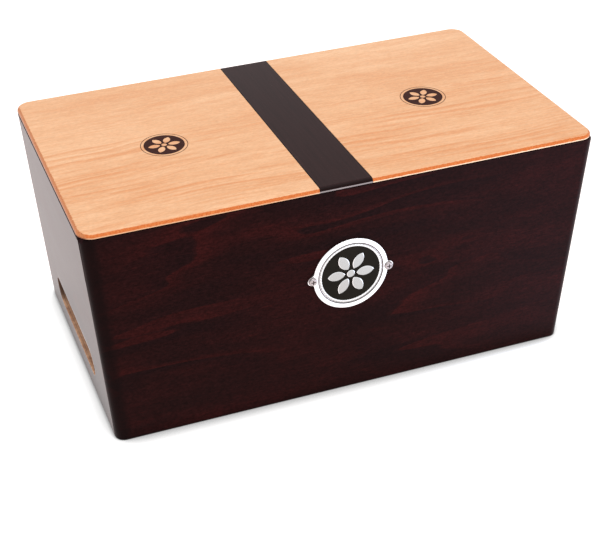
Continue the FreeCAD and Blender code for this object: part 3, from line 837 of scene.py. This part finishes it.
def inner_ring():
    """The ring round the disc: slanting milled ridges, a groove and a bead at its outer edge."""
    back, front = badge_boxes["badge_inner_ring"][1].y, badge_boxes["badge_inner_ring"][0].y
    steps = RING_RIDGES * RIDGE_STEPS
    loops = []
    for radius_mm, share, ridged in RING_PROFILE:
        radius = radius_mm * MM
        loop = []
        for step, (x, up) in enumerate(circle(radius, steps)):
            height = share
            if ridged:
                turn = RING_RIDGES * step / steps + radius * RING_SLANT
                height += RING_RIDGE_HEIGHT * math.cos(2 * math.pi * turn)
            loop.append((x, back + (front - back) * height, BADGE_LEVEL + up))
        loops.append(loop)
    mesh = skin("inner_ring", loops, [ring_metal], ring=True)
    return place_piece("inner_ring", mesh, "bright_metal", "badge_inner_ring", sharp=40)


def petal_outline(inset):
    """A lens bounded by two equal arcs, drawn in by an inset, as points along and across the petal."""
    half_chord = (MARK_REACH - MARK_START) / 2
    arc_radius = (half_chord**2 + MARK_HALF_WIDTH**2) / (2 * MARK_HALF_WIDTH)
    drop = arc_radius - MARK_HALF_WIDTH
    radius = arc_radius - inset
    reach = math.acos(drop / radius)
    middle = (MARK_START + MARK_REACH) / 2
    angles = [reach * (1 - 2 * step / PETAL_STEPS) for step in range(PETAL_STEPS)]
    upper = [(middle + radius * math.sin(a), radius * math.cos(a) - drop) for a in angles]
    return upper + [(2 * middle - along_petal, -across) for along_petal, across in upper]


def rosette_mark():
    """Six lens-shaped petals round a hub, with bright bevelled edges."""
    flat, bevel = 0, 1
    back, front = badge_boxes["badge_mark"][1].y, badge_boxes["badge_mark"][0].y
    levels = ((0.0, 0.0), (0.0, 0.5), (MARK_BEVEL, 0.96), (MARK_BEVEL + 0.08 * MM, 1.0))  # inset, height
    hub = [circle(MARK_HUB_RADIUS - inset, 2 * PETAL_STEPS) for inset, _ in levels]
    petal = [petal_outline(inset) for inset, _ in levels]
    shapes = [(hub, 0.0)] + [(petal, 2 * math.pi * turn / PETALS) for turn in range(PETALS)]
    work = bmesh.new()
    for outlines, turn in shapes:
        cos, sin = math.cos(turn), math.sin(turn)
        loops = []
        for outline, (_, share) in zip(outlines, levels):
            y = back + (front - back) * share
            loops.append([(u * cos - v * sin, y, BADGE_LEVEL + u * sin + v * cos) for u, v in outline])
        part = skin("part", loops, [mark_face, mark_edge], bands=[bevel, bevel, flat], caps=(flat, flat))
        work.from_mesh(part)
        bpy.data.meshes.remove(part)
    mesh = bpy.data.meshes.new("rosette_mark")
    work.to_mesh(mesh)
    work.free()
    mesh.materials.append(mark_face)
    mesh.materials.append(mark_edge)
    return place_piece("rosette_mark", mesh, "grey_metal", "badge_mark", sharp=8)


# ---------------------------------------------------------------- camera, light and floor


def make_camera():
    """Looks at the front and the left end from above, a little rolled."""
    azimuth, elevation, roll = -0.3143, 0.5979, -0.0374
    target, distance = Vector((-0.0506, 0.0, 0.0238)), 1.087
    level = math.cos(elevation)
    back = Vector((math.sin(azimuth) * level, -math.cos(azimuth) * level, math.sin(elevation)))
    right = (-back).cross(Vector((0, 0, 1))).normalized()
    up = right.cross(-back)
    rolled_right = right * math.cos(roll) + up * math.sin(roll)
    rolled_up = up * math.cos(roll) - right * math.sin(roll)
    data = bpy.data.cameras.new("camera")
    data.lens = 76.89
    data.shift_x, data.shift_y = 0.1027, 0.0397
    data.clip_start, data.clip_end = 0.05, 50.0
    camera = put_in_scene("camera", data)
    place = Matrix((rolled_right, rolled_up, back)).transposed().to_4x4()
    place.translation = target + back * distance
    camera.matrix_world = place
    bpy.context.scene.camera = camera


def floor_surface():
    """A pale luminous sheet, so that only the closest contact shadow shows on it."""
    surface = Surface("pale_floor", roughness=1.0, Specular_IOR_Level=0.0)
    # painted contact shadow: ambient occlusion darkens the floor's colour and glow, less beside the left end
    openness = surface.add("ShaderNodeAmbientOcclusion", {"Distance": 28 * MM}, samples=16).outputs["AO"]
    beside_end = surface.band(surface.x, -FOOT_HALF, -FOOT_HALF - 3 * MM)
    darkest = surface.scaled(beside_end, -0.22, 0.22)  # the openness that counts as full shadow
    clear = surface.band(openness, darkest, 0.97)
    in_shadow, in_light = (0.1, 0.1, 0.1, 1.0), (0.3, 0.29, 0.288, 1.0)
    surface.feed(surface.shader.inputs["Base Color"], surface.mix(clear, in_shadow, in_light))

    black, white = (0.0, 0.0, 0.0, 1.0), (1.0, 1.0, 1.0, 1.0)
    warm, cool = (1.0, 0.905, 0.89, 1.0), (1.7, 1.85, 2.2, 1.0)
    glow = surface.mix(clear, black, surface.mix(surface.band(clear, 0.85, 1.0), white, warm))
    # painted light: a brighter, cooler glow on the floor ahead of the front, to the right
    to_right = surface.band(surface.x, 0.0, 260 * MM)
    ahead = surface.band(surface.y, -HALF_DEPTH, -HALF_DEPTH - 20 * MM)
    glow = surface.mix(surface.times(to_right, ahead, clear), glow, cool)
    surface.feed(surface.shader.inputs["Emission Color"], glow)
    surface.shader.inputs["Emission Strength"].default_value = 1.15
    return surface.material


def make_studio():
    """An even white surrounding with one broad light overhead, on a pale floor."""
    world = bpy.data.worlds.new("studio")
    world.use_nodes = True
    background = world.node_tree.nodes["Background"]
    background.inputs["Color"].default_value = (1, 1, 1, 1)
    background.inputs["Strength"].default_value = 1.0
    bpy.context.scene.world = world
    light = bpy.data.lights.new("overhead", "SUN")
    light.energy = 1.5
    light.angle = math.radians(60)
    lamp = put_in_scene("overhead", light)
    lamp.rotation_euler = (math.radians(8), math.radians(4), 0)
    far = 8.0
    mesh = bpy.data.meshes.new("floor")
    mesh.from_pydata([(-far, -far, 0), (far, -far, 0), (far, far, 0), (-far, far, 0)], [], [(0, 1, 2, 3)])
    mesh.materials.append(floor_surface())
    floor = put_in_scene("floor", mesh)
    bpy.context.scene.view_settings.view_transform = "Standard"


dress_frame()
long_board("front_board", -1, "front_panel")
long_board("back_board", 1, "back_panel")
end_board("left_end_board", -1, "left_end_panel")
end_board("right_end_board", 1, "right_end_panel")
playing_board("left_voice", -1, BOARD_HIGH.x, playing_wood("playing_wood_left"), "left_soundboard")
playing_board("right_voice", 1, RIGHT_LOW.x, playing_wood("playing_wood_right"), "right_soundboard")
centre_strip()
inner_ring()
rosette_mark()
make_camera()
make_studio()
